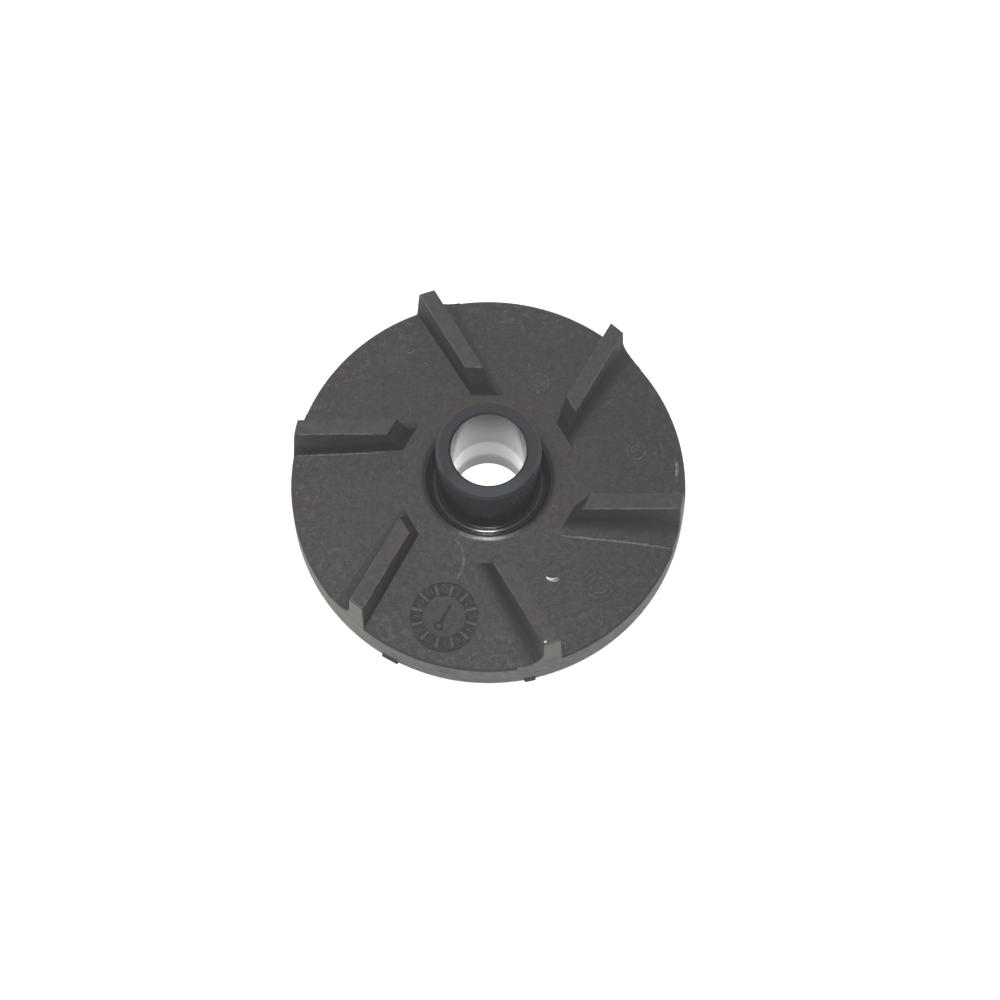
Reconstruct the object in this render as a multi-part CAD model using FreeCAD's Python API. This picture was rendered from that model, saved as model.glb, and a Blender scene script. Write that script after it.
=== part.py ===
import FreeCAD, Part
import math
import os
from FreeCAD import Vector

# A pump impeller: one moulding of a dark compound, with six straight blades on its coned face and a
# tall hub with a running bore through it. Millimetres, +Z up the bore, origin on the bore's axis at
# the hub's lower end, which is what the impeller stands on.

# The hub and its bore
hub_length = 20.0
hub_diameter = 15.0
bore_diameter = 10.7
hub_top_break = 0.4
edge_break = 0.3

# The disc, whose underside clears the thrust face at the hub's lower end
disc_diameter = 57.0
rim_thickness = 5.6
thrust_stand = 1.0
face_rise = 2.08

# The dish round the hub and the raised lip that rings it
lip_diameter = 17.8
lip_height = 0.3
lip_width = 1.9
lip_round = 0.4
lip_fillet = 0.7
dish_depth = 0.45
dish_fillet = 0.3

# The blades: each stands beside a radial line, between two drafted walls. Its inner end is a plane
# that runs in towards the hub as it falls, square to the direction half a pitch from the blade's own.
blade_count = 6
blade_height = 7.6
land_width = 2.3
land_offset = 4.6
wall_draft = 1.8
inner_reach = 14.9
inner_lean = 19.0
outer_draft = 3.0
land_round = 0.2
blade_root = 1.2

# The cove along the foot of each blade's far wall, the one away from the radial line: a cone with a
# level axis, so that it widens as the face falls away to the rim. It runs a hair under the face and
# a hair into the wall, for clean edges.
cove_inner = 2.35
cove_sink = 0.04
cove_bite = 0.03

# The round marks that the mould's date insert and ejector pins leave on the face, each at a distance
# from the axis, an angle and a diameter. They are level, square to the way the mould opens, so on the
# coned face each is sunk on its inner side and proud on its outer side.
dial_place = (21.6, -107.2)
dial_diameter = 10.0
dial_rise = 0.1
pin_rise = 0.04
pin_places = [
    (16.6, 63.3, 3.4),
    (21.9, 11.8, 3.1),
    (22.4, -45.7, 4.8),
    (16.7, -56.8, 3.0),
]

# The broken stubs of the gates, at the rim's lower edge
gate_angles = [-119.9, -78.3]
gate_widths = [2.5, 1.6]
gate_proud = 0.2
gate_drop = 0.5
gate_depth = 0.9
gate_rise = 0.5

hub_radius = hub_diameter / 2
bore_radius = bore_diameter / 2
disc_radius = disc_diameter / 2
lip_radius = lip_diameter / 2
rim_level = thrust_stand + rim_thickness
land_level = rim_level + blade_height
face_slope = face_rise / (disc_radius - lip_radius)
pitch = 360 / blade_count
Z_AXIS = Vector(0, 0, 1)


def face_level(radius):
    """Height of the coned face at a distance from the axis."""
    return rim_level + face_slope * (disc_radius - radius)


def corner(x, z, radius=0, chamfer=0):
    """A corner of a turned outline, left sharp or given a radius or a chamfer."""
    return Vector(x, 0, z), radius, chamfer


def turned(corners):
    """A solid turned about the bore's axis, from the corners of its outline in the XZ plane."""
    edges = []
    starts = []
    ends = []
    for i, (point, radius, chamfer) in enumerate(corners):
        back = (corners[i - 1][0] - point).normalize()
        following = corners[(i + 1) % len(corners)][0]
        ahead = (following - point).normalize()
        half_turn = back.getAngle(ahead) / 2
        reach = chamfer + radius / math.tan(half_turn)
        starts.append(point + back * reach)
        ends.append(point + ahead * reach)
        if radius:
            sagitta = radius / math.sin(half_turn) - radius
            middle = point + (back + ahead).normalize() * sagitta
            edges.append(Part.Arc(starts[i], middle, ends[i]).toShape())
        if chamfer:
            edges.append(Part.makeLine(starts[i], ends[i]))
    for i in range(len(corners)):
        edges.append(Part.makeLine(ends[i - 1], starts[i]))
    outline = Part.Wire(Part.__sortEdges__(edges))
    return Part.Face(outline).revolve(Vector(), Z_AXIS, 360)


def turned_body():
    """The disc, its dish and lip, and the bored hub, as one turned form."""
    lip_foot = lip_radius + lip_width
    return turned([
        corner(bore_radius, 0, chamfer=edge_break),
        corner(hub_radius, 0, chamfer=edge_break),
        corner(hub_radius, thrust_stand),
        corner(disc_radius, thrust_stand, chamfer=edge_break),
        corner(disc_radius, rim_level, chamfer=edge_break),
        corner(lip_foot, face_level(lip_foot), radius=lip_fillet),
        corner(lip_radius, face_level(lip_radius) + lip_height, radius=lip_round),
        corner(hub_radius, rim_level - dish_depth, radius=dish_fillet),
        corner(hub_radius, hub_length, chamfer=hub_top_break),
        corner(bore_radius, hub_length, chamfer=edge_break),
    ])


def blade_envelope():
    """The turned space that trims the blades' outer ends, flush with the rim at their foot."""
    tip_radius = disc_radius - blade_height * math.tan(math.radians(outer_draft))
    return turned([
        corner(0, thrust_stand),
        corner(disc_radius, thrust_stand),
        corner(disc_radius, rim_level),
        corner(tip_radius, land_level),
        corner(0, land_level),
    ])


def wall_lean(level):
    """How far a drafted wall has moved out from its place at the land, at a height."""
    return (land_level - level) * math.tan(math.radians(wall_draft))


def blade_walls(start, end, low):
    """The upright part of a blade, between its two drafted walls."""
    near = -land_offset
    far = near - land_width
    section = Part.makePolygon([
        Vector(start, near + wall_lean(low), low),
        Vector(start, near, land_level),
        Vector(start, far, land_level),
        Vector(start, far - wall_lean(low), low),
        Vector(start, near + wall_lean(low), low),
    ])
    return Part.Face(section).extrude(Vector(end - start, 0, 0))


def cove_cone(start, end):
    """The cone that the cove is the corner of, and the middles of its two ends."""
    inner_x = inner_reach * math.cos(math.radians(pitch / 2))
    foot = land_offset + land_width + wall_lean(rim_level)
    level = face_level(math.hypot(inner_x, foot + cove_inner)) - cove_sink + cove_inner
    cove_outer = level - rim_level + cove_sink
    outer_x = math.sqrt(disc_radius ** 2 - (foot + cove_outer) ** 2)
    growth = (cove_outer - cove_inner) / (outer_x - inner_x)
    wall = -land_offset - land_width - wall_lean(level)
    radii = [cove_inner + growth * (x - inner_x) for x in (start, end)]
    first, last = [Vector(x, wall + cove_bite - r, level) for x, r in zip((start, end), radii)]
    axis = last - first
    return Part.makeCone(radii[0], radii[1], axis.Length, first, axis), [first, last]


def inner_space():
    """The space inside a blade's inner end."""
    space = Part.makeBox(disc_radius, disc_diameter, disc_diameter,
                         Vector(-disc_radius, -disc_radius, -disc_radius))
    space.rotate(Vector(), Vector(0, 1, 0), inner_lean)
    space.translate(Vector(inner_reach, 0, land_level))
    space.rotate(Vector(), Z_AXIS, -pitch / 2)
    return space


def blade():
    """One blade: its walls, a block with the cove's cone cut out of it, and its trimmed ends."""
    start = hub_radius
    end = disc_radius + land_width
    low = rim_level - blade_root
    cone, middles = cove_cone(start, end)
    within = -land_offset - land_width / 2
    plan = [Vector(point.x, point.y, low) for point in middles]
    plan += [Vector(end, within, low), Vector(start, within, low)]
    block = Part.Face(Part.makePolygon(plan + plan[:1])).extrude(Z_AXIS * (middles[0].z - low))
    whole = blade_walls(start, end, low).fuse(block).cut(cone)
    return whole.cut(inner_space()).common(blade_envelope()).removeSplitter()


def with_level_mark(shape, place, diameter, rise):
    """The shape with a level round mark on its face: filled below the mark and cleared above it."""
    radius, angle = place
    level = face_level(radius) + rise
    fall = face_slope * diameter
    root = Part.makeCylinder(diameter / 2, fall, Vector(radius, 0, level - fall), Z_AXIS)
    space = Part.makeCylinder(diameter / 2, fall, Vector(radius, 0, level), Z_AXIS)
    for cylinder in (root, space):
        cylinder.rotate(Vector(), Z_AXIS, angle)
    return shape.fuse(root).cut(space)


def gate_stub(angle, width):
    """The stub where a gate was broken off, under the rim's edge and a little proud of it."""
    stub = Part.makeBox(gate_depth + gate_proud, width, gate_drop + gate_rise,
                        Vector(disc_radius - gate_depth, -width / 2, thrust_stand - gate_drop))
    stub.rotate(Vector(), Z_AXIS, angle)
    return stub


def land_edges(shape):
    """The edges round the flat tops of the blades."""
    def on_land(edge):
        return all(abs(vertex.Z - land_level) < 1e-6 for vertex in edge.Vertexes)
    return [edge for edge in shape.Edges if on_land(edge)]


def impeller():
    """The whole moulding."""
    first = blade()
    pieces = []
    for i in range(blade_count):
        copy = first.copy()
        copy.rotate(Vector(), Z_AXIS, i * pitch)
        pieces.append(copy)
    pieces += [gate_stub(angle, width) for angle, width in zip(gate_angles, gate_widths)]
    shape = turned_body().fuse(pieces).removeSplitter()
    shape = shape.makeFillet(land_round, land_edges(shape))
    for radius, angle, diameter in pin_places:
        shape = with_level_mark(shape, (radius, angle), diameter, pin_rise)
    return with_level_mark(shape, dial_place, dial_diameter, dial_rise)


os.makedirs("parts", exist_ok=True)
part = impeller()
part.exportStep("parts/impeller.step")
print("valid", part.isValid(), "solids", len(part.Solids), "faces", len(part.Faces))
print("volume", round(part.Volume, 1), "cubic millimetres")
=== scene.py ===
import math

import bmesh
import bpy
from mathutils import Matrix, Vector


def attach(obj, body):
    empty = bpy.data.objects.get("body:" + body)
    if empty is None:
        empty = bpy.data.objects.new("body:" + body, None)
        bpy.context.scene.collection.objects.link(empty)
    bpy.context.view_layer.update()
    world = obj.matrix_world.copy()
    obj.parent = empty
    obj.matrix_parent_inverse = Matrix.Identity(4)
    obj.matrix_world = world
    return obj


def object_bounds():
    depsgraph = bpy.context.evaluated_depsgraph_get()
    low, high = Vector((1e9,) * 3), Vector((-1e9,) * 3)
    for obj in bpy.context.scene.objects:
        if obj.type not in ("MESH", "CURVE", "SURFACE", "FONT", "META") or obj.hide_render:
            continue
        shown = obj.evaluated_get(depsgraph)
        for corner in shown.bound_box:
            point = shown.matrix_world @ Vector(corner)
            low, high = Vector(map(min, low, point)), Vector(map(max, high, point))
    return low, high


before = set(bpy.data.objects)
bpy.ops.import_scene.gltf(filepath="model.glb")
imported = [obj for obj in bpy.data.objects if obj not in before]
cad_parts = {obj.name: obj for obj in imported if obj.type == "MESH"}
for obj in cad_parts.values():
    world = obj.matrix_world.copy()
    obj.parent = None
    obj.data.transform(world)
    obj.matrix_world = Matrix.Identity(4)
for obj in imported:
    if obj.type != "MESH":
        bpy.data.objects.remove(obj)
cad_low, cad_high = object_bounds()

# The moulding: disc, hub and six blades in one piece, injection moulded in a dark ferrite-filled plastic.
# It is matte where the mould was eroded, and polished where a turned insert made the hub, bore and dish.
# The rim and the blades' outer ends, which slid along the mould's wall, have a satin finish.
MM = 0.001
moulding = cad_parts["impeller"]

hub_level = cad_high.z
hub_radius = 7.5 * MM
hub_break = 0.4 * MM
bore_radius = 5.35 * MM
lip_radius = 8.9 * MM
gloss_radius = 9.49 * MM
insert_radius = 10.0 * MM
disc_radius = cad_high.x
disc_foot = 1.0 * MM
rim_level = 6.6 * MM
rim_break = 0.3 * MM
face_slope = 2.08 / 19.6
land_level = 14.2 * MM
outer_draft = math.tan(math.radians(3))

dial_distance = 21.6 * MM
dial_angle = math.radians(-107.2)
dial_x = dial_distance * math.cos(dial_angle)
dial_y = dial_distance * math.sin(dial_angle)
dial_radius = 5.0 * MM
dial_rise = 0.1 * MM
plate_radius = 3.05 * MM

# its colours: first the compound's own, then painted shade and a near black, then those of wear and of
# the outer wall with a painted light, and last the polished zone's, with a painted shade on the lip and a
# painted sheen
brown = (0.0178, 0.0088, 0.0082)
grey_green = (0.0110, 0.0145, 0.0078)
violet = (0.0180, 0.0100, 0.0185)
mottle_dark = (0.0100, 0.0082, 0.0080)
grain_pale = (0.0250, 0.0225, 0.0215)
speck_pale = (0.060, 0.056, 0.054)
right_shade_dark = (0.0060, 0.0055, 0.0055)
cove_shade_dark = (0.0040, 0.0037, 0.0036)
end_edge_shade = (0.0060, 0.0060, 0.0058)
chamfer_shade = (0.0070, 0.0070, 0.0066)
near_black = (0.0020, 0.0020, 0.0020)
scuff_pale = (0.0340, 0.0322, 0.0318)
top_pale = (0.0270, 0.0235, 0.0210)
worn_pale = (0.070, 0.066, 0.060)
rib_pale = (0.0350, 0.0330, 0.0320)
rim_dark = (0.0250, 0.0260, 0.0215)
rim_pale = (0.0560, 0.0550, 0.0450)
blade_end_pale = (0.0620, 0.0620, 0.0530)
left_light_pale = (0.0880, 0.0870, 0.0740)
polish_dark = (0.0165, 0.0168, 0.0205)
fleck_dark = (0.0135, 0.0138, 0.0148)
lip_shade_dark = (0.0070, 0.0072, 0.0080)
hub_front_sheen = (0.0250, 0.0290, 0.0330)

compound = bpy.data.materials.new("moulded_compound")
compound.use_nodes = True
tree = compound.node_tree
shader = tree.nodes["Principled BSDF"]


def add_node(kind, label, **settings):
    """A node of the compound's material, with a label and its settings."""
    node = tree.nodes.new(kind)
    node.label = label
    for name, value in settings.items():
        setattr(node, name, value)
    return node


def feed(socket, value):
    """Give a socket its value: another node's output, a colour or a number."""
    if isinstance(value, bpy.types.NodeSocket):
        tree.links.new(value, socket)
    elif isinstance(value, tuple):
        socket.default_value = (*value, 1)
    else:
        socket.default_value = value


def calculate(operation, first, second=None, label=""):
    """The result of one sum on one or two values."""
    node = add_node("ShaderNodeMath", label, operation=operation)
    feed(node.inputs[0], first)
    if second is not None:
        feed(node.inputs[1], second)
    return node.outputs[0]


def ramp_between(value, low, high, label, from_mask=0.0, to_mask=1.0):
    """A mask that rises smoothly while a value goes from low to high."""
    node = add_node("ShaderNodeMapRange", label, interpolation_type="SMOOTHSTEP")
    feed(node.inputs["Value"], value)
    feed(node.inputs["From Min"], low)
    feed(node.inputs["From Max"], high)
    feed(node.inputs["To Min"], from_mask)
    feed(node.inputs["To Max"], to_mask)
    return node.outputs["Result"]


def noise(place, per_mm, detail, label, roughness=0.6):
    """Smooth variation from 0 to 1, with about so many cells to a millimetre."""
    node = add_node("ShaderNodeTexNoise", label)
    feed(node.inputs["Vector"], place)
    feed(node.inputs["Scale"], per_mm / MM)
    feed(node.inputs["Detail"], detail)
    feed(node.inputs["Roughness"], roughness)
    return node.outputs["Fac"]


def blend_colours(mask, first, second, label):
    """One colour over another by a mask. A Mix node's colours are its inputs 6 and 7 and its output 2."""
    node = add_node("ShaderNodeMix", label, data_type="RGBA")
    feed(node.inputs["Factor"], mask)
    feed(node.inputs[6], first)
    feed(node.inputs[7], second)
    return node.outputs[2]


def blend_values(mask, first, second, label):
    """One value over another by a mask. A Mix node's values are its inputs 2 and 3 and its output 0."""
    node = add_node("ShaderNodeMix", label, data_type="FLOAT")
    feed(node.inputs["Factor"], mask)
    feed(node.inputs[2], first)
    feed(node.inputs[3], second)
    return node.outputs[0]


def distance_from(x, y, label):
    """How far a point of the surface is from an upright line at x and y."""
    off_x = calculate("POWER", calculate("SUBTRACT", part_x, x), 2)
    off_y = calculate("POWER", calculate("SUBTRACT", part_y, y), 2)
    return calculate("SQRT", calculate("ADD", off_x, off_y), label=label)


def face_level(distance):
    """Height of the coned face at a distance from the bore's axis."""
    return rim_level + face_slope * (disc_radius - distance)


# where a point of the surface is
place = add_node("ShaderNodeTexCoord", "place on the part").outputs["Object"]
axes = add_node("ShaderNodeSeparateXYZ", "its axes")
feed(axes.inputs[0], place)
part_x = axes.outputs["X"]
part_y = axes.outputs["Y"]
height = axes.outputs["Z"]
radius = distance_from(0, 0, "distance from the bore's axis")
out_and_up = calculate("ADD", radius, height, "across an upper chamfer")

# the polished zone: inside the insert, but neither the hub's dull chamfer nor the disc's underside
inside = ramp_between(radius, insert_radius, insert_radius - 0.45 * MM, "inside the insert")
hub_corner = hub_radius + hub_level - hub_break
hub_chamfer = ramp_between(out_and_up, hub_corner - 0.06 * MM, hub_corner - 0.03 * MM, "hub's chamfer")
back = ramp_between(part_y, -4.5 * MM, -1.0 * MM, "side that is not worn bright")
off_chamfer = calculate("SUBTRACT", 1.0, calculate("MULTIPLY", hub_chamfer, back))
upper_side = ramp_between(height, disc_foot + 1.0 * MM, disc_foot + 2.0 * MM, "upper side of the disc")
on_hub = ramp_between(radius, hub_radius + 0.2 * MM, hub_radius + 0.1 * MM, "hub's own radius")
reach = calculate("MAXIMUM", upper_side, on_hub)
polished = calculate("MULTIPLY", inside, calculate("MULTIPLY", off_chamfer, reach), "polished zone")

# the outer wall: rim and blade ends, without their draft, and the rim's top chamfer and broken gates
above_rim = calculate("MAXIMUM", calculate("SUBTRACT", height, rim_level), 0)
wall = calculate("ADD", radius, calculate("MULTIPLY", above_rim, outer_draft))
outer = ramp_between(wall, disc_radius - 0.25 * MM, disc_radius - 0.08 * MM, "outer wall")
up_the_ends = ramp_between(height, rim_level + 0.2 * MM, rim_level + 2.5 * MM, "up the blades' ends")
beyond_rim = ramp_between(radius, disc_radius + 0.02 * MM, disc_radius + 0.05 * MM, "beyond the rim")
under_rim = ramp_between(height, disc_foot - 0.02 * MM, disc_foot - 0.06 * MM, "under the rim")
broken = calculate("MAXIMUM", beyond_rim, calculate("MULTIPLY", outer, under_rim), "broken gates")
rim_corner = disc_radius + rim_level - rim_break
past_corner = ramp_between(out_and_up, rim_corner - 0.05 * MM, rim_corner - 0.01 * MM, "past the corner")
under_face = ramp_between(height, rim_level + 0.03 * MM, rim_level + 0.005 * MM, "below the face's edge")
rim_chamfer = calculate("MULTIPLY", past_corner, under_face, "rim's top chamfer")

# the blades' flat tops, and the round edges along them
land = ramp_between(height, land_level - 0.15 * MM, land_level - 0.02 * MM, "blade tops")
edge_start = ramp_between(height, land_level - 0.30 * MM, land_level - 0.14 * MM, "up to the round edge")
edge_end = ramp_between(height, land_level - 0.004 * MM, land_level - 0.03 * MM, "below the flat top")
edge = calculate("MULTIPLY", edge_start, edge_end, "round edges of the blade tops")

# the coves, by their height above the face, which falls away to the rim
fall = calculate("MULTIPLY", calculate("SUBTRACT", disc_radius, radius), face_slope)
proud = calculate("SUBTRACT", calculate("SUBTRACT", height, rim_level), fall, "height above the face")
cove_start = ramp_between(proud, 0.10 * MM, 1.0 * MM, "up in a cove")
cove_end = ramp_between(proud, 3.2 * MM, 2.4 * MM, "below a wall")
on_face = ramp_between(radius, 11.0 * MM, 11.5 * MM, "beyond the lip")
cove = calculate("MULTIPLY", calculate("MULTIPLY", cove_start, cove_end), on_face, "coves")

# the date dial: its low ground, the arrow's groove, and the relief of ribs and numbers
dial_level = face_level(dial_distance) + dial_rise
from_dial = distance_from(dial_x, dial_y, "distance from the dial's middle")
on_dial = ramp_between(from_dial, dial_radius - 0.05 * MM, dial_radius - 0.15 * MM, "on the dial")
low_down = ramp_between(height, dial_level + 0.045 * MM, dial_level + 0.02 * MM, "down on the ground")
ground = calculate("MULTIPLY", calculate("MULTIPLY", on_dial, low_down), upper_side, "dial's ground")
in_groove = ramp_between(from_dial, plate_radius + 0.05 * MM, plate_radius - 0.01 * MM, "arrow's groove")
high_up = ramp_between(height, dial_level + 0.13 * MM, dial_level + 0.17 * MM, "up on the relief")
off_plate = ramp_between(from_dial, plate_radius + 0.03 * MM, plate_radius + 0.09 * MM, "off the plate")
raised = calculate("MULTIPLY", calculate("MULTIPLY", on_dial, high_up), off_plate, "ribs and numbers")
over_numbers = dial_level + 0.20 * MM
rib_top = dial_level + 0.23 * MM
rib_rubbing = ramp_between(height, over_numbers, rib_top, "rubbed ribs", from_mask=0.45, to_mask=0.80)

# the left side, with a painted light on its outer wall, and the right side, with a painted shade and a
# duller finish
painted_right_shade = ramp_between(part_x, 6.0 * MM, 26.0 * MM, "dirtier side", to_mask=0.30)
left_light = ramp_between(part_x, -6.0 * MM, -22.0 * MM, "handled side", to_mask=0.6)

# what varies over the surface, with no order
blotches = noise(place, 0.16, 5, "blotches of the flow")
tinge = noise(place, 0.45, 3, "tinge of the filler")
grain = noise(place, 5.0, 6, "grain of the filler", 0.7)
mottle = noise(place, 1.3, 4, "mottle", 0.65)
scuffing = noise(place, 0.9, 5, "scuffing", 0.7)
rubbing = noise(place, 0.7, 6, "rubbing", 0.75)
speckle = noise(place, 2.6, 2, "speckle", 0.5)
glitter = noise(place, 28.0, 2, "glitter", 0.5)

brown_or_grey = ramp_between(blotches, 0.40, 0.62, "brown or grey")
violet_patches = ramp_between(tinge, 0.50, 0.62, "violet patches")
worn = ramp_between(tinge, 0.36, 0.62, "worn stretches", from_mask=0.25)
grainy = ramp_between(grain, 0.38, 0.62, "grain only")
mottled = ramp_between(mottle, 0.40, 0.60, "mottle only")
flecks = ramp_between(mottle, 0.42, 0.62, "flecks only")
patches = ramp_between(mottle, 0.38, 0.52, "patches of painted shade", from_mask=0.70)
near_rim = ramp_between(radius, 20 * MM, 27 * MM, "near the rim")
scuffs = calculate("MULTIPLY", ramp_between(scuffing, 0.54, 0.62, "scuffs only"), near_rim, "scuffs")
rubbed = ramp_between(rubbing, 0.42, 0.62, "rubbed wall")
specks = ramp_between(speckle, 0.68, 0.76, "pale specks only")
glints = ramp_between(glitter, 0.57, 0.61, "glints only")

# the colour outside the polished zone, from the compound up: each layer is a mask and its colour
wall_colour = blend_colours(rubbed, rim_dark, rim_pale, "rubbed rim")
wall_colour = blend_colours(up_the_ends, wall_colour, blade_end_pale, "ends paler")
# painted light: the outer wall is paler on the left side
wall_colour = blend_colours(left_light, wall_colour, left_light_pale, "handled side")
# painted shade: the dial's sunk ground, in patches, and the arrow's groove are near black
dial_shade = calculate("MULTIPLY", ground, calculate("MAXIMUM", patches, in_groove))
# painted shade: the rim's top chamfer is darker
chamfer_share = calculate("MULTIPLY", rim_chamfer, 0.75)
layers = [
    ("violet tinge", violet_patches, violet),
    ("darker mottle", mottled, mottle_dark),
    ("grain", grainy, grain_pale),
    ("scuffs", scuffs, scuff_pale),
    ("specks", specks, speck_pale),
    # painted shade: the right side is darker
    ("dirtier side", painted_right_shade, right_shade_dark),
    # painted shade: the coves are darker
    ("painted shade in the coves", calculate("MULTIPLY", cove, 0.55), cove_shade_dark),
    ("blade tops", calculate("MULTIPLY", land, 0.42), top_pale),
    ("worn edges", calculate("MULTIPLY", edge, worn), worn_pale),
    ("painted shade on the dial", dial_shade, near_black),
    ("rubbed ribs", calculate("MULTIPLY", raised, rib_rubbing), rib_pale),
    ("outer wall", outer, wall_colour),
    # painted shade: a dark line on the rounded edges of the blades' outer ends
    ("dark end edges", calculate("MULTIPLY", calculate("MULTIPLY", edge, outer), 0.7), end_edge_shade),
    ("rim's top chamfer", chamfer_share, chamfer_shade),
    ("broken gates", broken, near_black),
]
face_colour = blend_colours(brown_or_grey, brown, grey_green, "brown to grey")
for label, mask, layer_colour in layers:
    face_colour = blend_colours(mask, face_colour, layer_colour, label)

# the colour of the polished zone: flecks off the hub, a painted shade that darkens the lip, and a painted
# sheen on the hub's top at the front
off_hub = ramp_between(radius, hub_radius + 0.06 * MM, hub_radius + 0.2 * MM, "outside the hub")
past_dish = ramp_between(radius, lip_radius - 0.2 * MM, lip_radius, "past the dish")
on_top = ramp_between(height, hub_level - 0.1 * MM, hub_level - 0.02 * MM, "hub's top")
front = ramp_between(part_y, -3.0 * MM, -6.0 * MM, "front of the hub")
polish_colour = blend_colours(calculate("MULTIPLY", off_hub, flecks), polish_dark, fleck_dark, "flecks")
polish_colour = blend_colours(past_dish, polish_colour, lip_shade_dark, "darker lip")
# painted sheen: the front of the hub's top is paler
polish_colour = blend_colours(calculate("MULTIPLY", on_top, front), polish_colour, hub_front_sheen, "painted sheen on the hub's top")
feed(shader.inputs["Base Color"], blend_colours(polished, face_colour, polish_colour, "colour"))

# the finish outside the polished zone, as roughness: 0.2 is glossy, and 0.9 is quite dull
matte = blend_values(mottled, 0.76, 0.84, "matte finish")
matte = calculate("ADD", matte, calculate("MULTIPLY", painted_right_shade, 0.12))
satin = blend_values(tinge, 0.54, 0.76, "satin finish")
dull = blend_values(outer, matte, satin, "satin outer wall")
dull = blend_values(broken, dull, 0.9, "broken gates are dull")
dull = blend_values(chamfer_share, dull, 0.5, "smoother chamfer")

# the finish of the polished zone, with a duller foot and mouth in the bore
in_bore = ramp_between(radius, bore_radius + 0.25 * MM, bore_radius + 0.05 * MM, "in the bore")
foot = ramp_between(height, 4.8 * MM, 2.4 * MM, "below the burnished band")
mouth = ramp_between(height, 12.0 * MM, 19.5 * MM, "up to the bore's mouth")
gloss = blend_values(foot, 0.16, 0.31, "duller foot of the bore")
gloss = blend_values(calculate("MULTIPLY", mouth, in_bore), gloss, 0.27, "duller mouth of the bore")

# the lip: dull past the polish, and worn at the front over its whole width, where fine glints are left
past_polish = ramp_between(radius, gloss_radius, gloss_radius + 0.005 * MM, "past the polish")
whole_lip = ramp_between(radius, lip_radius, lip_radius + 0.1 * MM, "whole width of the lip")
unevenness = calculate("MULTIPLY", calculate("SUBTRACT", mottle, 0.5), 2.5 * MM)
uneven_y = calculate("ADD", part_y, unevenness)
lip_front = ramp_between(uneven_y, -8.50 * MM, -8.55 * MM, "front of the lip")
worn_lip = calculate("MAXIMUM", past_polish, calculate("MULTIPLY", whole_lip, lip_front), "worn lip")
lip_finish = blend_values(calculate("MULTIPLY", glints, lip_front), 0.80, 0.22, "glints on the lip")
gloss = blend_values(worn_lip, gloss, lip_finish, "finish of the lip")
feed(shader.inputs["Roughness"], blend_values(polished, dull, gloss, "finish"))

# the shaft has burnished a band low in the bore, and faint rings above it
band_foot = 2.6 * MM
band_top = 9.6 * MM
band_start = ramp_between(height, band_foot, band_foot + 2.2 * MM, "above the band's foot")
band_end = ramp_between(height, band_top, band_top - 1.2 * MM, "below the band's top")
band = calculate("MULTIPLY", band_start, band_end, "burnished band")
level_only = add_node("ShaderNodeCombineXYZ", "level in the bore")
feed(level_only.inputs["Z"], height)
rings = noise(level_only.outputs[0], 0.7, 4, "rings")
fading = ramp_between(height, 19.0 * MM, 10.0 * MM, "fading to the top")
faint_rings = calculate("MULTIPLY", fading, calculate("MULTIPLY", rings, 0.21))
burnish = calculate("MAXIMUM", calculate("MULTIPLY", band, 0.85), faint_rings)
above_foot = ramp_between(height, 2.2 * MM, 5.0 * MM, "above the bore's foot")
burnish = calculate("MULTIPLY", calculate("MULTIPLY", burnish, above_foot), in_bore, "burnish")
feed(shader.inputs["Coat Weight"], burnish)
feed(shader.inputs["Coat Roughness"], 0.12)

# the fine relief of the grain, which a polished mould doesn't leave
relief = calculate("ADD", grain, calculate("MULTIPLY", mottle, 0.6), "grain and mottle")
bump = add_node("ShaderNodeBump", "grain relief")
feed(bump.inputs["Strength"], 0.3)
feed(bump.inputs["Distance"], 0.035 * MM)
feed(bump.inputs["Height"], blend_values(polished, relief, 0.85, "no grain where polished"))
feed(shader.inputs["Normal"], bump.outputs["Normal"])

for material_slot in moulding.material_slots:
    material_slot.material = compound

# flat faces stay flat beside their narrow chamfers and fillets
crease = moulding.modifiers.new("crease", "EDGE_SPLIT")
crease.split_angle = math.radians(28)
flatten = moulding.modifiers.new("flatten", "WEIGHTED_NORMAL")
flatten.mode = "FACE_AREA_WITH_ANGLE"
flatten.weight = 100


# The date dial: a round insert in the mould leaves the twelve months' numbers in a ring, a rib between
# each two of them, and a plate with an arrow sunk in it. Their relief is about a tenth of a millimetre,
# of the same compound, and all one with the face.
def add_piece(name, mesh, material):
    """A piece of the moulding, from a mesh that is already in its place on the part."""
    piece = bpy.data.objects.new(name, mesh)
    bpy.context.scene.collection.objects.link(piece)
    mesh.materials.append(material)
    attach(piece, "root")
    return piece


def circle(radius, x=0.0, y=0.0, count=64):
    """The points of a circle."""
    turns = [2 * math.pi * i / count for i in range(count)]
    return [(x + radius * math.cos(t), y + radius * math.sin(t)) for t in turns]


def turned_by(points, angle):
    """Points turned about their origin, by an angle in radians."""
    c = math.cos(angle)
    s = math.sin(angle)
    return [(x * c - y * s, x * s + y * c) for x, y in points]


def outline_mesh(outlines, height, bevel):
    """A mesh in millimetres that fills outlines, with their holes and islands, up to a height."""
    curve = bpy.data.curves.new("outline", "CURVE")
    curve.dimensions = "2D"
    curve.fill_mode = "BOTH"
    curve.extrude = height / 2 - bevel
    curve.bevel_depth = bevel
    curve.bevel_resolution = 2
    for outline in outlines:
        spline = curve.splines.new("POLY")
        spline.points.add(len(outline) - 1)
        for point, (x, y) in zip(spline.points, outline):
            point.co = (x, y, 0, 1)
        spline.use_cyclic_u = True
    return solid_mesh(curve, height)


def solid_mesh(curve, height):
    """The mesh of a filled curve, moved up so that it stands on its own origin."""
    shape = bpy.data.objects.new("shape", curve)
    mesh = bpy.data.meshes.new_from_object(shape)
    bpy.data.objects.remove(shape)
    mesh.transform(Matrix.Translation((0, 0, height / 2)))
    return mesh


def set_down(mesh, x, y, level):
    """The mesh scaled from millimetres to metres, and set down at a place on the part."""
    mesh.transform(Matrix.Translation((x, y, level)) @ Matrix.Scale(MM, 4))
    return mesh


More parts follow.
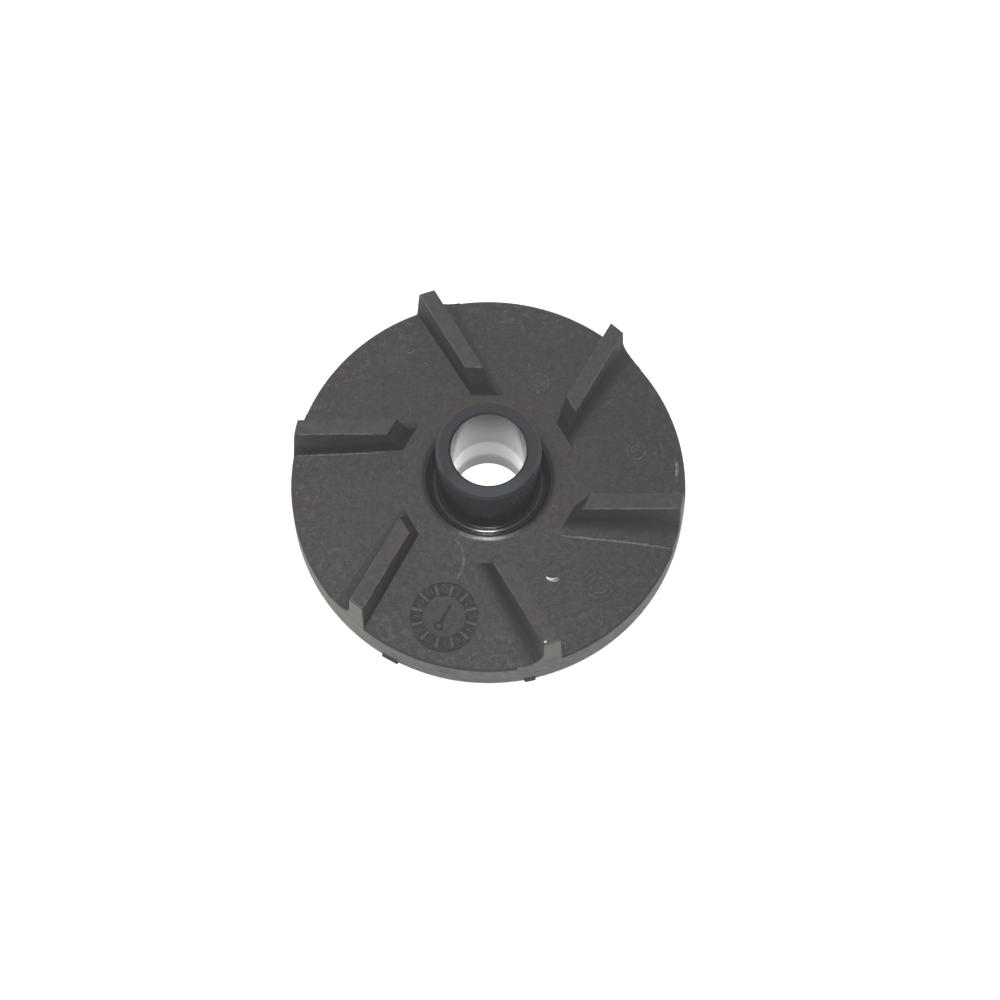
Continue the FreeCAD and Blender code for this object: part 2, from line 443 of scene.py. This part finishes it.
plate_height = 0.19
plate_bevel = 0.03
arrow_turn = math.radians(61)
tail_x = -1.62
tail_radius = 0.72
tail_island_radius = 0.34
tail_opening = 0.33
tail_sweep = 5.623
tail_turns = [tail_opening + i * tail_sweep / 40 for i in range(41)]
tail = [(tail_x + tail_radius * math.cos(t), tail_radius * math.sin(t)) for t in tail_turns]
point_of_arrow = [(1.76, -0.22), (1.95, 0.0), (1.76, 0.22)]
plate_outlines = [
    circle(plate_radius / MM),
    turned_by(tail + point_of_arrow, arrow_turn),
    turned_by(circle(tail_island_radius, x=tail_x), arrow_turn),
]
plate = outline_mesh(plate_outlines, plate_height, plate_bevel)
add_piece("dial_plate", set_down(plate, dial_x, dial_y, dial_level), compound)

rib_height = 0.25
rib_bevel = 0.04
month_step = math.radians(30)
rib = [(3.2, -0.14), (4.74, -0.22), (4.74, 0.22), (3.2, 0.14)]
rib_outlines = [turned_by(rib, month_step * (i + 0.5)) for i in range(12)]
ribs_mesh = outline_mesh(rib_outlines, rib_height, rib_bevel)
add_piece("dial_ribs", set_down(ribs_mesh, dial_x, dial_y, dial_level), compound)

number_size = 1.25
number_distance = 3.95
number_height = 0.19
number_bevel = 0.015
numbers = bmesh.new()
for month in range(1, 13):
    lettering = bpy.data.curves.new("number", "FONT")
    lettering.body = str(month)
    lettering.size = number_size
    lettering.space_character = 0.9
    lettering.align_x = "CENTER"
    lettering.align_y = "CENTER"
    lettering.extrude = number_height / 2 - number_bevel
    lettering.bevel_depth = number_bevel
    number = solid_mesh(lettering, number_height)
    outwards = Matrix.Translation((0, number_distance, 0))
    number.transform(Matrix.Rotation(-month_step * month, 4, "Z") @ outwards)
    numbers.from_mesh(number)
numbers_mesh = bpy.data.meshes.new("dial_numbers")
numbers.to_mesh(numbers_mesh)
numbers.free()
add_piece("dial_numbers", set_down(numbers_mesh, dial_x, dial_y, dial_level), compound)

# The ejector pins' ends were engraved with rings, which stand up as low, rubbed rings on the level marks.
# On one mark a sliver of flash is bent down along the outer side, and a burr is left on one blade's tip.
# Both are painted pale grey, a painted highlight for the light that glints off them.
paleness = bpy.data.node_groups.new("broken_paleness", "ShaderNodeTree")
paleness.interface.new_socket("Dark", in_out="INPUT", socket_type="NodeSocketColor")
paleness.interface.new_socket("Pale", in_out="INPUT", socket_type="NodeSocketColor")
paleness.interface.new_socket("Colour", in_out="OUTPUT", socket_type="NodeSocketColor")
given = paleness.nodes.new("NodeGroupInput")
result = paleness.nodes.new("NodeGroupOutput")
pale_place = paleness.nodes.new("ShaderNodeTexCoord")
pale_noise = paleness.nodes.new("ShaderNodeTexNoise")
pale_noise.inputs["Scale"].default_value = 2.2 / MM
pale_noise.inputs["Detail"].default_value = 3
pale_breaks = paleness.nodes.new("ShaderNodeMapRange")
pale_breaks.inputs["From Min"].default_value = 0.38
pale_breaks.inputs["From Max"].default_value = 0.62
pale_mix = paleness.nodes.new("ShaderNodeMix")
pale_mix.data_type = "RGBA"
paleness.links.new(pale_place.outputs["Object"], pale_noise.inputs["Vector"])
paleness.links.new(pale_noise.outputs["Fac"], pale_breaks.inputs["Value"])
paleness.links.new(pale_breaks.outputs["Result"], pale_mix.inputs["Factor"])
paleness.links.new(given.outputs["Dark"], pale_mix.inputs[6])
paleness.links.new(given.outputs["Pale"], pale_mix.inputs[7])
paleness.links.new(pale_mix.outputs[2], result.inputs["Colour"])


def mark_finish(name, dark, pale, roughness):
    """A dull finish that is broken between a dark colour and a pale one."""
    finish = bpy.data.materials.new(name)
    finish.use_nodes = True
    group = finish.node_tree.nodes.new("ShaderNodeGroup")
    group.node_tree = paleness
    group.inputs["Dark"].default_value = (*dark, 1)
    group.inputs["Pale"].default_value = (*pale, 1)
    finish_shader = finish.node_tree.nodes["Principled BSDF"]
    finish_shader.inputs["Roughness"].default_value = roughness
    finish.node_tree.links.new(group.outputs["Colour"], finish_shader.inputs["Base Color"])
    return finish


pin_rise = 0.04 * MM
ring_height = 0.15
ring_bevel = 0.06
ring_finish = mark_finish("rubbed_rings", (0.006, 0.005, 0.005), (0.030, 0.027, 0.026), 0.74)
# each pin's distance from the axis, its angle, and its rings' outer and inner radii
pins = [
    (16.6, 63.3, [(1.62, 1.30), (0.62, 0.38)]),
    (21.9, 11.8, [(1.50, 1.22), (0.80, 0.58)]),
    (22.4, -45.7, [(2.05, 1.82), (1.30, 1.06), (0.55, 0.35)]),
    (16.7, -56.8, [(1.45, 1.28)]),
]
for i, (distance, angle, rings_of_pin) in enumerate(pins):
    x = distance * math.cos(math.radians(angle)) * MM
    y = distance * math.sin(math.radians(angle)) * MM
    level = face_level(distance * MM) + pin_rise
    outlines = [circle(r) for ring in rings_of_pin for r in ring]
    rings_mesh = outline_mesh(outlines, ring_height, ring_bevel)
    add_piece(f"pin_rings_{i + 1}", set_down(rings_mesh, x, y, level), ring_finish)


def line_mesh(name, line, width, section, lift=0.0):
    """A raised line on the face, in millimetres: a section of (across, up) points along a line of places,
    tapered to nothing at both ends, and lifted above the face."""
    tip_share = 0.04
    build = bmesh.new()
    rows = []
    last = len(line) - 1
    for i, (x, y) in enumerate(line):
        before = line[max(i - 1, 0)]
        after = line[min(i + 1, last)]
        along = Vector((after[0] - before[0], after[1] - before[1])).normalized()
        share = tip_share + (1 - 2 * tip_share) * i / last
        taper = math.sin(math.pi * share) ** 0.5
        row = []
        for across, up in section:
            px = x - along.y * across * width * taper
            py = y + along.x * across * width * taper
            level = face_level(math.hypot(px, py) * MM) / MM + lift
            row.append(build.verts.new((px * MM, py * MM, (level + up * taper) * MM)))
        rows.append(row)
    for one, other in zip(rows, rows[1:]):
        for i in range(len(section) - 1):
            build.faces.new((one[i], other[i], other[i + 1], one[i + 1]))
    mesh = bpy.data.meshes.new(name)
    build.to_mesh(mesh)
    build.free()
    for polygon in mesh.polygons:
        polygon.use_smooth = True
    return mesh


# painted highlight: the sliver and the burr are pale grey so that they show as glints
glint_finish = bpy.data.materials.new("painted_glint")
glint_finish.use_nodes = True
glint_shader = glint_finish.node_tree.nodes["Principled BSDF"]
glint_shader.inputs["Base Color"].default_value = (0.42, 0.42, 0.43, 1)
glint_shader.inputs["Roughness"].default_value = 0.45

flash_section = [(0.5, -0.1), (0.42, 0.13), (-0.5, 0.0), (-0.55, -0.1)]
sliver_x = 9.14
sliver_y = -13.97
sliver_radius = 1.38
sliver_width = 0.42
sliver_lift = 0.24
sliver_turns = [math.radians(-136 + 92 * i / 24) for i in range(25)]
sliver_line = [(sliver_x + sliver_radius * math.cos(t), sliver_y + sliver_radius * math.sin(t))
               for t in sliver_turns]
sliver = line_mesh("flash_sliver", sliver_line, sliver_width, flash_section, sliver_lift)
add_piece("flash_sliver", sliver, glint_finish)

burr_width = 0.36
burr_lift = 7.50
burr_line = [(7.56, -26.54), (7.70, -26.58), (7.86, -26.52), (7.96, -26.42)]
burr = line_mesh("tip_burr", burr_line, burr_width, flash_section, burr_lift)
add_piece("tip_burr", burr, glint_finish)


# Flow marks: where two fronts of the compound met in the mould they left thin, low lines, paler than the
# face: a curl by the lip and two short streaks. Two more low lines run at the feet of two blades, painted
# pale as a painted highlight along the feet. Six chips of the same pale compound lie on the face, and a
# brighter scuff is near the rim.
def smoothed(points, steps=8):
    """A smooth line through points, by the Catmull-Rom rule."""
    stretched = [points[0]] + points + [points[-1]]
    line = []
    for i in range(len(points) - 1):
        for step in range(steps):
            t = step / steps
            spot = []
            for a, b, c, d in zip(*stretched[i:i + 4]):
                bend = (2 * a - 5 * b + 4 * c - d) * t ** 2 + (3 * b - a - 3 * c + d) * t ** 3
                spot.append(0.5 * (2 * b + (c - a) * t + bend))
            line.append(tuple(spot))
    line.append(points[-1])
    return line


# the pale finish of the marks and chips; on the two lines at the blades' feet it is a painted highlight
pale_and_highlight_finish = mark_finish("pale_marks_and_highlights", (0.008, 0.007, 0.007), (0.042, 0.040, 0.036), 0.6)
low_section = [(-0.5, -0.02), (-0.25, 0.05), (0.0, 0.07), (0.25, 0.05), (0.5, -0.02)]
# each line's name, its width, and the places that it runs through
flow_lines = [
    ("wall_foot_highlight", 0.40, [(-14.9, 4.20), (-19.0, 4.21), (-23.5, 4.23), (-27.6, 4.25)]),
    ("flow_curl", 0.55, [(-5.1, -9.3), (-4.1, -10.1), (-3.65, -11.3), (-3.6, -12.39),
                         (-3.77, -13.41), (-4.2, -14.42), (-4.6, -15.2)]),
    ("cove_foot_highlight", 0.56, [(10.4, -8.72), (12.35, -8.86), (15.93, -9.13),
                         (19.52, -9.41), (23.12, -9.83), (26.1, -10.25)]),
    ("flow_streak", 0.42, [(-10.59, 20.95), (-10.85, 20.45), (-11.48, 20.1), (-12.0, 20.35)]),
    ("faint_streak", 0.36, [(16.15, 10.13), (16.6, 11.0), (17.2, 11.76), (18.39, 12.84)]),
]
for name, width, places in flow_lines:
    add_piece(name, line_mesh(name, smoothed(places), width, low_section), pale_and_highlight_finish)

chip_width = 0.26
chips = [(22.76, 0.01), (23.36, 0.8), (8.16, -24.42), (3.73, 11.7), (-9.9, -17.2), (-3.1, -17.6)]
for i, (x, y) in enumerate(chips):
    chip = smoothed([(x - 0.16, y - 0.05), (x, y + 0.04), (x + 0.17, y)], steps=4)
    add_piece(f"pale_chip_{i + 1}", line_mesh("pale_chip", chip, chip_width, low_section), pale_and_highlight_finish)

scuff_width = 0.55
scuff = smoothed([(27.2, 3.0), (27.33, 2.2), (27.3, 1.4), (27.12, 0.6)])
scuff_finish = mark_finish("bright_scuff", (0.030, 0.030, 0.030), (0.105, 0.103, 0.107), 0.6)
add_piece("rim_scuff", line_mesh("rim_scuff", scuff, scuff_width, low_section), scuff_finish)

# The studio floor: a sheet of white card that the moulding stands on. It is lit so brightly that
# it shows almost pure white, and it lights the rim, the blades' ends and the bore from below.
half_card = 1.5
card_corners = [
    (-half_card, -half_card, 0),
    (half_card, -half_card, 0),
    (half_card, half_card, 0),
    (-half_card, half_card, 0),
]
card_mesh = bpy.data.meshes.new("card")
card_mesh.from_pydata(card_corners, [], [(0, 1, 2, 3)])
card = bpy.data.objects.new("card", card_mesh)
bpy.context.scene.collection.objects.link(card)
card_white = bpy.data.materials.new("white_card")
card_white.use_nodes = True
card_shader = card_white.node_tree.nodes["Principled BSDF"]
card_shader.inputs["Base Color"].default_value = (0.86, 0.86, 0.86, 1)
card_shader.inputs["Roughness"].default_value = 0.9
card_shader.inputs["Specular IOR Level"].default_value = 0.1
card_mesh.materials.append(card_white)

# The studio's light: a pale room, lighter at its ceiling and on its left, and a soft box high on the
# camera's side, which puts the lines of light on the lip and on the fillet at the hub's foot.
wall_light = 0.12
ceiling_light = 0.48
light_to_the_left = 0.16
studio = bpy.data.worlds.new("studio")
studio.use_nodes = True
room = studio.node_tree
room_place = room.nodes.new("ShaderNodeTexCoord")
room_axes = room.nodes.new("ShaderNodeSeparateXYZ")
room.links.new(room_place.outputs["Generated"], room_axes.inputs[0])
up_the_room = room.nodes.new("ShaderNodeMapRange")
up_the_room.inputs["From Min"].default_value = 0.1
up_the_room.inputs["From Max"].default_value = 0.9
up_the_room.inputs["To Min"].default_value = wall_light
up_the_room.inputs["To Max"].default_value = ceiling_light
room.links.new(room_axes.outputs["Z"], up_the_room.inputs["Value"])
across_the_room = room.nodes.new("ShaderNodeMath")
across_the_room.operation = "MULTIPLY_ADD"
across_the_room.inputs[1].default_value = -light_to_the_left
room.links.new(room_axes.outputs["X"], across_the_room.inputs[0])
room.links.new(up_the_room.outputs["Result"], across_the_room.inputs[2])
room.links.new(across_the_room.outputs[0], room.nodes["Background"].inputs["Strength"])
room.nodes["Background"].inputs["Color"].default_value = (1, 1, 1, 1)
bpy.context.scene.world = studio

soft_box_azimuth = math.radians(-94)
soft_box_elevation = math.radians(79.5)
soft_box_distance = 0.9
soft_box = bpy.data.lights.new("soft_box", "AREA")
soft_box.size = 0.14
soft_box.energy = 12.0
soft_box_post = bpy.data.objects.new("soft_box", soft_box)
bpy.context.scene.collection.objects.link(soft_box_post)
towards = Vector((
    math.cos(soft_box_azimuth) * math.cos(soft_box_elevation),
    math.sin(soft_box_azimuth) * math.cos(soft_box_elevation),
    math.sin(soft_box_elevation),
))
soft_box_post.location = towards * soft_box_distance
soft_box_post.rotation_mode = "QUATERNION"
soft_box_post.rotation_quaternion = towards.to_track_quat("Z", "Y")

# The camera: a long lens held high in front of the part, turned and tipped a degree or so. The white card
# fills most of its picture, so the lens lays a thin veil of the card's light over the dark part.
view_elevation = math.radians(70.08)
view_turn = math.radians(-1.42)
view_tip = math.radians(1.04)
view_distance = 459.1 * MM
aim_height = 6.6 * MM
aside = Vector((1.69 * MM, -2.55 * MM, view_distance))
lens = bpy.data.cameras.new("camera")
lens.lens = 114.42
lens.clip_start = 0.01
camera = bpy.data.objects.new("camera", lens)
bpy.context.scene.collection.objects.link(camera)
look = Matrix.Rotation(view_turn, 4, "Z") @ Matrix.Rotation(math.pi / 2 - view_elevation, 4, "X")
look = look @ Matrix.Rotation(view_tip, 4, "Z")
camera.matrix_world = Matrix.Translation((0, 0, aim_height)) @ look @ Matrix.Translation(aside)
bpy.context.scene.camera = camera
bpy.context.scene.view_settings.view_transform = "Standard"

veil_light = 0.022
bpy.context.scene.use_nodes = True
darkroom = bpy.context.scene.node_tree
picture = darkroom.nodes["Render Layers"]
developed = darkroom.nodes["Composite"]
veil = darkroom.nodes.new("CompositorNodeMixRGB")
veil.blend_type = "ADD"
veil.inputs[2].default_value = (veil_light, veil_light, veil_light, 1)
darkroom.links.new(picture.outputs["Image"], veil.inputs[1])
darkroom.links.new(veil.outputs["Image"], developed.inputs["Image"])
